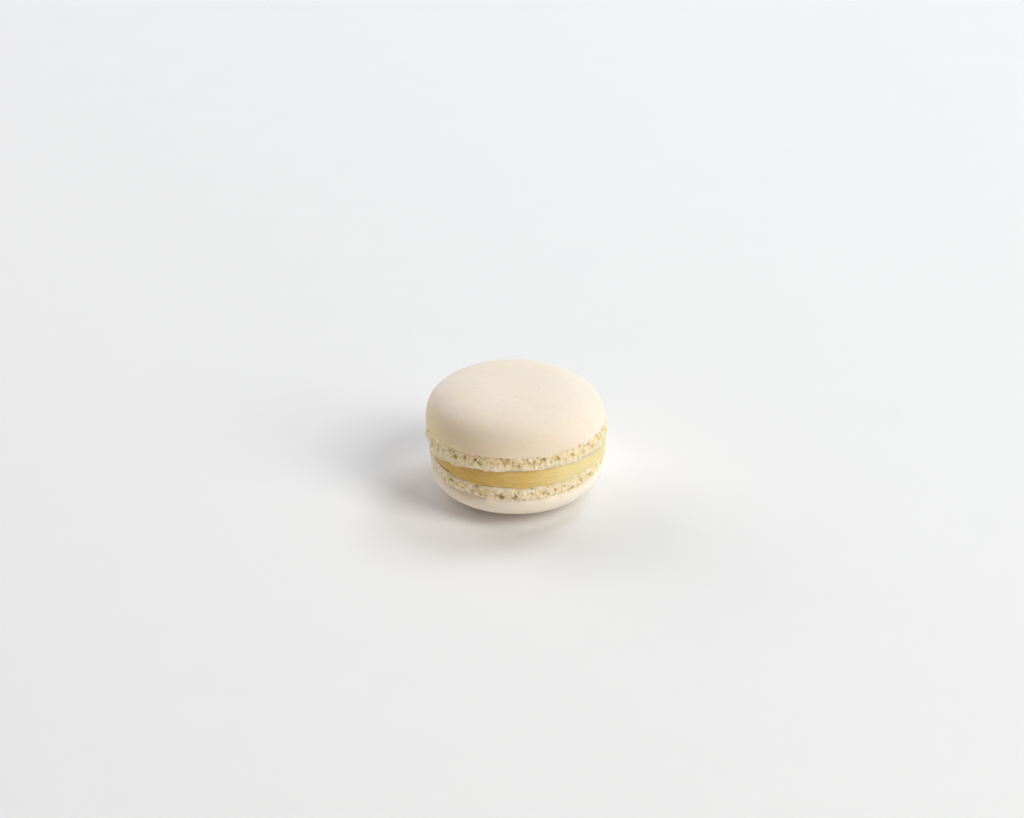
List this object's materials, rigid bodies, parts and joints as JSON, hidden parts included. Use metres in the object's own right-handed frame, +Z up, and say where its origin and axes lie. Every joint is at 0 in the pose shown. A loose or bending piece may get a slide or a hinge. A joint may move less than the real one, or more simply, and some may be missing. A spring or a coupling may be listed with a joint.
{
  "type": "french macaron",
  "caption": "Round sandwich biscuit: two domed almond meringue shells with ruffled, pitted feet, joined by a wedge-shaped band of lemon cream.",
  "frame": {"origin": "middle of the footprint, on the surface that the macaron rests on", "axes": "+Z up, through both shells; -Y is the front, where the cream is thickest; +X to the right seen from the front"},
  "size_m": [0.0474, 0.047, 0.0313],
  "materials": {
    "lower_meringue": "baked almond meringue, matt and eggshell-fine, with an open crumb foot",
    "lemon_cream": "smooth soft lemon butter cream with a faint sheen",
    "upper_meringue": "baked almond meringue, matt and eggshell-fine, with an open crumb foot"
  },
  "bodies": {
    "root": {"bottom_shell": "lower_meringue", "filling": "lemon_cream", "top_shell": "upper_meringue"}
  },
  "joints": []
}
